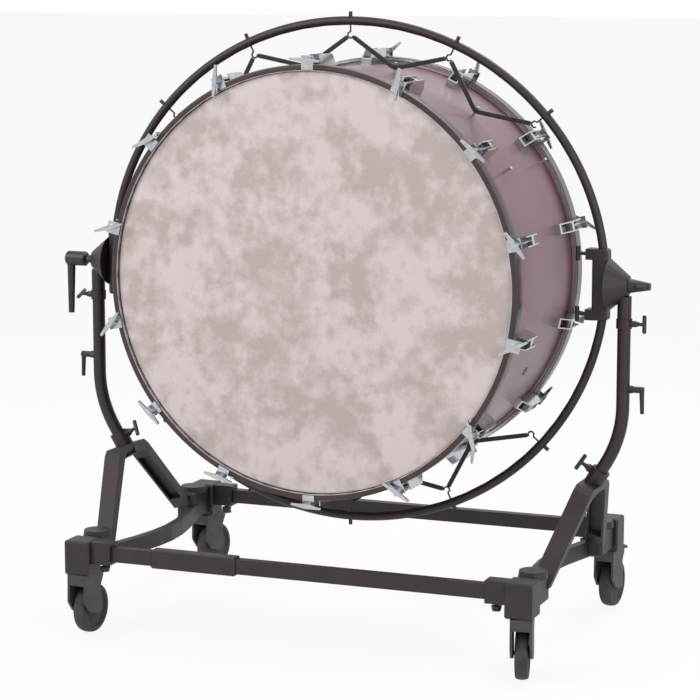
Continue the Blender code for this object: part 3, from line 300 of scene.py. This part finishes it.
hoop_profile = rounded_hoop(HOOP_RADIUS + COVER_GAP, HOOP_INNER, HOOP_FACE + COVER_GAP,
                            HOOP_FACE - HOOP_DEPTH - COVER_GAP, HOOP_BEND)
for side, way in (("front", -1.0), ("rear", 1.0)):
    hoop = turned(f"{side}_hoop_lacquered", hoop_profile, DRUM_MIDDLE, (0, way, 0), HOOP_STEPS)
    hoop.data.materials.append(hoop_lacquer)
    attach(hoop, "drum_and_ring")
    paint(f"{side}_counterhoop", chrome)

# Tension rods
# Turned steel rods with flat pressed T-handles, all chromed. Each runs from its claw on the hoop to a
# casing on the barrel.
for name in frame["nodes"]:
    if name.startswith("front_tension_rod"):
        paint(name, chrome)

# Ring
# One bent steel tube, painted dark brown, with ten hooks through it. The smooth tube lies on the
# ring's solid, and the hooks stand out of it.
RING_HALF_WIDTH = 0.657
RING_HALF_HEIGHT = 0.6216
RING_TUBE = 0.0107
RING_STEPS = 288
RING_SIDES = 24
PAINT_DEEP = (0.013, 0.0075, 0.0075, 1.0)
PAINT_LIGHT = (0.024, 0.013, 0.013, 1.0)
frame_paint = plain_finish("dark_brown_paint", PAINT_DEEP, PAINT_LIGHT, scale=14.0, gloss=(0.42, 0.58),
                           grain=520.0, bump=0.10)


def circle(radius, steps):
    """A round cross-section: the radius times the cosine and the sine of equal angles."""
    t = np.linspace(0, 2 * math.pi, steps, endpoint=False)
    return np.stack((radius * np.cos(t), radius * np.sin(t)), axis=1)


def carried(name, path, section, closed):
    """A cross-section carried along a path that lies in an upright plane across the drum: a point is
    the path's, plus the section's first value square to the path in that plane, plus its second along
    the drum's depth. An open path is closed by a point at each end."""
    run = np.roll(path, -1, axis=0) - np.roll(path, 1, axis=0) if closed else np.gradient(path, axis=0)
    run = run / np.linalg.norm(run, axis=1)[:, None]
    across = np.stack((-run[:, 2], np.zeros(len(run)), run[:, 0]), axis=1)
    depth = np.array((0.0, 1.0, 0.0))
    points = path[:, None] + section[None, :, :1] * across[:, None] + section[None, :, 1:] * depth
    if not closed:
        ends = [np.repeat(path[k][None, None], len(section), axis=1) for k in (0, -1)]
        points = np.concatenate((ends[0], points, ends[1]), axis=0)
    return surface(name, points, closed, True, sharp=60.0)


angle = np.linspace(0, 2 * math.pi, RING_STEPS, endpoint=False)
ring_path = PIVOT + np.stack((RING_HALF_WIDTH * np.cos(angle), 0 * angle, RING_HALF_HEIGHT * np.sin(angle)),
                             axis=1)
ring_tube = carried("ring_tube_painted", ring_path, circle(RING_TUBE, RING_SIDES), True)
ring_tube.data.materials.append(frame_paint)
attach(ring_tube, "drum_and_ring")
paint("suspension_ring", frame_paint)

# Elastic straps
# Flat black bungee bands with a woven cover, stretched from ring hook to shell stud to ring hook,
# four at the top and four at the bottom. A strong fine grain stands for the weave.
LUGS = 14
LUG_STEP = 360 / LUGS
TOP_AND_BOTTOM = (90, -90)
STEPS_FROM_POLE = (-2, -1, 0, 1)
HOOK_INSET = 0.0345
HOOK_REACH = 0.0107
STUD_RADIUS = 0.520
STRAP_HALF_WIDTH = 0.0055
STRAP_HALF_THICKNESS = 0.0034
STRAP_SIDES = 20
STRAP_POINTS = 49
STRAP_SOFTNESS = 0.03
ELASTIC_DEEP = (0.006, 0.006, 0.007, 1.0)
ELASTIC_LIGHT = (0.020, 0.020, 0.022, 1.0)


def soft_band(half_width, half_thickness, steps):
    """A rectangle with rounded corners: the half sizes times the square roots of the cosine and the
    sine of equal angles, with their signs kept."""
    a = np.linspace(0, 2 * math.pi, steps, endpoint=False)
    return np.stack((half_width * np.sign(np.cos(a)) * np.abs(np.cos(a)) ** 0.5,
                     half_thickness * np.sign(np.sin(a)) * np.abs(np.sin(a)) ** 0.5), axis=1)


def way_at(degrees):
    """The unit direction at that angle from +X, in the upright plane across the drum."""
    a = math.radians(degrees)
    return np.array((math.cos(a), 0.0, math.sin(a)))


def hook_centre(degrees):
    """The hook's middle: the ellipse of the ring at that angle, less the hook's inset."""
    a = math.radians(degrees)
    reach = 1 / math.hypot(math.cos(a) / RING_HALF_WIDTH, math.sin(a) / RING_HALF_HEIGHT)
    return PIVOT + way_at(degrees) * (reach - HOOK_INSET)


def strap_path(start, stud, end):
    """Two straight runs that meet in a soft bend at the stud. For s from -1 to 1, an arm's share is
    half of s, or of -s, plus the root of s squared and the softness squared."""
    s = np.linspace(-1, 1, STRAP_POINTS)[:, None]
    back = (-s + np.sqrt(s * s + STRAP_SOFTNESS * STRAP_SOFTNESS)) / 2
    forth = (s + np.sqrt(s * s + STRAP_SOFTNESS * STRAP_SOFTNESS)) / 2
    return stud + (start - stud) * back + (end - stud) * forth


braid = plain_finish("braided_elastic", ELASTIC_DEEP, ELASTIC_LIGHT, scale=90.0, gloss=(0.70, 0.85),
                     grain=900.0, bump=0.5, sheen=0.3)
number = 0
for pole in TOP_AND_BOTTOM:
    for turn in STEPS_FROM_POLE:
        number += 1
        low, high = pole + turn * LUG_STEP, pole + (turn + 1) * LUG_STEP
        stud = DRUM_MIDDLE + way_at((low + high) / 2) * STUD_RADIUS
        stud[1] = PIVOT[1]
        ends = []
        for hook in (hook_centre(low), hook_centre(high)):
            toward = (stud - hook) / np.linalg.norm(stud - hook)
            ends.append(hook + toward * HOOK_REACH)
        band = carried(f"strap_band_{number:02d}", strap_path(ends[0], stud, ends[1]),
                       soft_band(STRAP_HALF_WIDTH, STRAP_HALF_THICKNESS, STRAP_SIDES), False)
        band.data.materials.append(braid)
        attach(band, "drum_and_ring")
        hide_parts(f"elastic_strap_{number:02d}")

# Posts
# Bent steel tubes, painted, that carry the ring's bearings. Each smooth tube lies on the lower post's
# solid: a straight run, an arc towards the middle, and a short straight tail.
POST_X = 0.7055
POST_TOP = 0.7935
BEND_TOP = 0.605
BEND_RADIUS = 0.28
BEND_ANGLE = math.radians(31)
BEND_STEPS = 25
POST_TUBE = 0.0161
POST_SIDES = 32
TAIL = 0.030
for side, way in (("left", -1.0), ("right", 1.0)):
    a = np.linspace(0, BEND_ANGLE, BEND_STEPS)
    x = POST_X - BEND_RADIUS * (1 - np.cos(a))
    z = BEND_TOP - BEND_RADIUS * np.sin(a)
    x = np.concatenate(([POST_X], x, [x[-1] - TAIL * math.sin(BEND_ANGLE)]))
    z = np.concatenate(([POST_TOP], z, [z[-1] - TAIL * math.cos(BEND_ANGLE)]))
    path = np.stack((PIVOT[0] + way * x, np.full_like(x, PIVOT[1]), z), axis=1)
    tube = carried(f"post_tube_{side}", path, circle(POST_TUBE, POST_SIDES), False)
    tube.data.materials.append(frame_paint)
    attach(tube, "stand")

# Stand
# Cast corners, pressed legs and rectangular rails, with the posts' castings and the ring's clamps,
# all in the same dark paint.
for name in frame["nodes"]:
    if name.startswith(("end_frame", "front_rail", "rear_rail", "lower_post", "upper_post", "ring_clamp")):
        paint(name, frame_paint)

# Levers and hand screws
# Moulded black plastic grips that clamp the tilt and the posts. Grip and screw are one solid here,
# so both take the plastic.
for name in frame["nodes"]:
    if name.startswith(("pivot_", "height_screw", "post_lever", "socket_screw")):
        paint(name, black_plastic)

# Casters
# Grey moulded forks and brake pedals under the corners. Each wheel is one turned piece, hub and tyre
# in the same rubber finish.
CASTER_DEEP = (0.030, 0.030, 0.033, 1.0)
CASTER_LIGHT = (0.050, 0.050, 0.055, 1.0)
RUBBER_DEEP = (0.024, 0.024, 0.027, 1.0)
RUBBER_LIGHT = (0.046, 0.046, 0.050, 1.0)
WHEEL_RADIUS = 0.0625
WHEEL_HALF = 0.016
WHEEL_STEPS = 96
CROWN_DROP = 0.006
CROWN_ANGLE = 1.25
CROWN_POINTS = 13
SHOULDER_INSET = 0.010

# Each point of the disc is its radius and its distance from the wheel's middle, in half widths.
DISC = ((0.049, 1.0), (0.0465, 0.80), (0.034, 0.68), (0.0195, 0.80), (0.0165, 1.10), (0.0058, 1.12))
caster_grey = plain_finish("caster_grey", CASTER_DEEP, CASTER_LIGHT, scale=22.0, gloss=(0.45, 0.60),
                           grain=480.0, bump=0.12)
tyre_rubber = plain_finish("tyre_rubber", RUBBER_DEEP, RUBBER_LIGHT, scale=40.0, gloss=(0.62, 0.80),
                           grain=600.0, bump=0.25)


def wheel_profile(radius, half):
    """Hub boss, dished disc and raised rim on both sides, joined by the axle bore and by a tread that
    is an arc crowned at the middle."""
    crown = [(radius - CROWN_DROP * (1 - math.cos(a)), half * math.sin(a))
             for a in np.linspace(-CROWN_ANGLE, CROWN_ANGLE, CROWN_POINTS)]
    face = ((radius - SHOULDER_INSET, 1.0),) + DISC
    left = [(r, -half * h) for r, h in face[::-1]]
    right = [(r, half * h) for r, h in face]
    return left + crown + right


for name in frame["nodes"]:
    if name.startswith(("caster_fork", "brake_pedal")):
        paint(name, caster_grey)
    if name.startswith("caster_wheel"):
        corner = name.replace("caster_wheel_", "")
        roll = JOINTS[f"roll_{corner}"]
        wheel = turned(f"tyre_{corner}", wheel_profile(WHEEL_RADIUS, WHEEL_HALF), np.array(roll["pos_m"]),
                       roll["axis"], WHEEL_STEPS)
        wheel.data.materials.append(tyre_rubber)
        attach(wheel, f"wheel_{corner}")
        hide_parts(name)

# Studio
# A pale floor, large soft lamps, and a white surround that only the camera, glossy and transmission
# rays see, so that the object is lit by the lamps and a dim sky.
CAMERA_AZIMUTH = math.radians(21.658)
CAMERA_HEIGHT = math.radians(9.0)
CAMERA_DISTANCE = 6.2507
CAMERA_LENS = 128.24
CAMERA_TARGET = Vector(PIVOT) + Vector((-0.0016, 0.0, -0.1974))
SENSOR_WIDTH = 36.0
LAMP_AIM = Vector((0, 0, 0.7))
SKY_COLOUR = (0.92, 0.95, 1.0, 1.0)
SKY_STRENGTH = 0.42
WHITE = (1.0, 1.0, 1.0, 1.0)
FLOOR_COLOUR = (0.93, 0.93, 0.93, 1.0)
FLOOR_ROUGHNESS = 0.9
FLOOR_GLOW = 0.90
FLOOR_HALF = 60
FLOOR_DROP = 0.0006


def add_lamp(name, place, size, power):
    """A square lamp of that size in metres and power in watts, turned to the middle of the object."""
    lamp = bpy.data.lights.new(name, "AREA")
    lamp.size = size
    lamp.energy = power
    holder = bpy.data.objects.new(name, lamp)
    holder.location = place
    holder.rotation_euler = (LAMP_AIM - Vector(place)).to_track_quat("-Z", "Y").to_euler()
    bpy.context.scene.collection.objects.link(holder)


def seen_white(nodes, links):
    """1 for camera, glossy and transmission rays, else 0: the largest of the three."""
    path = nodes.new("ShaderNodeLightPath")
    total = path.outputs["Is Camera Ray"]
    for ray in ("Is Glossy Ray", "Is Transmission Ray"):
        larger = nodes.new("ShaderNodeMath")
        larger.operation = "MAXIMUM"
        links.new(total, larger.inputs[0])
        links.new(path.outputs[ray], larger.inputs[1])
        total = larger.outputs[0]
    return total


world = bpy.data.worlds.new("studio")
bpy.context.scene.world = world
world.use_nodes = True
nodes, links = world.node_tree.nodes, world.node_tree.links
soft_light = nodes["Background"]
soft_light.inputs["Color"].default_value = SKY_COLOUR
soft_light.inputs["Strength"].default_value = SKY_STRENGTH
white = nodes.new("ShaderNodeBackground")
white.inputs["Color"].default_value = WHITE
mixer = nodes.new("ShaderNodeMixShader")
links.new(seen_white(nodes, links), mixer.inputs["Fac"])
links.new(soft_light.outputs["Background"], mixer.inputs[1])
links.new(white.outputs["Background"], mixer.inputs[2])
links.new(mixer.outputs["Shader"], nodes["World Output"].inputs["Surface"])

floor_mesh = bpy.data.meshes.new("floor")
floor_mesh.from_pydata([(-FLOOR_HALF, -FLOOR_HALF, 0), (FLOOR_HALF, -FLOOR_HALF, 0),
                        (FLOOR_HALF, FLOOR_HALF, 0), (-FLOOR_HALF, FLOOR_HALF, 0)], [], [(0, 1, 2, 3)])
floor = bpy.data.objects.new("floor", floor_mesh)
floor.location.z = -FLOOR_DROP
bpy.context.scene.collection.objects.link(floor)
floor_material, nodes, links = new_material("pale_floor")
nodes["Principled BSDF"].inputs["Base Color"].default_value = FLOOR_COLOUR
nodes["Principled BSDF"].inputs["Roughness"].default_value = FLOOR_ROUGHNESS
glow = nodes.new("ShaderNodeEmission")
glow.inputs["Color"].default_value = WHITE
share = nodes.new("ShaderNodeMath")
share.operation = "MULTIPLY"
share.inputs[1].default_value = FLOOR_GLOW
links.new(seen_white(nodes, links), share.inputs[0])
mixer = nodes.new("ShaderNodeMixShader")
links.new(share.outputs[0], mixer.inputs["Fac"])
links.new(nodes["Principled BSDF"].outputs["BSDF"], mixer.inputs[1])
links.new(glow.outputs["Emission"], mixer.inputs[2])
links.new(mixer.outputs["Shader"], nodes["Material Output"].inputs["Surface"])
floor_mesh.materials.append(floor_material)

add_lamp("key_lamp", place=(-2.6, -3.6, 3.4), size=2.6, power=125.0)
add_lamp("fill_lamp", place=(3.4, -2.4, 2.0), size=2.4, power=50.0)
add_lamp("top_lamp", place=(0.8, 1.6, 3.8), size=2.2, power=70.0)

camera_data = bpy.data.cameras.new("camera")
camera_data.lens = CAMERA_LENS
camera_data.sensor_width = SENSOR_WIDTH
camera = bpy.data.objects.new("camera", camera_data)
back = Vector((math.sin(CAMERA_AZIMUTH) * math.cos(CAMERA_HEIGHT),
               -math.cos(CAMERA_AZIMUTH) * math.cos(CAMERA_HEIGHT), math.sin(CAMERA_HEIGHT)))
camera.location = CAMERA_TARGET + back * CAMERA_DISTANCE
camera.rotation_euler = (-back).to_track_quat("-Z", "Y").to_euler()
bpy.context.scene.collection.objects.link(camera)
bpy.context.scene.camera = camera
bpy.context.scene.view_settings.view_transform = "Standard"

bpy.context.view_layer.update()
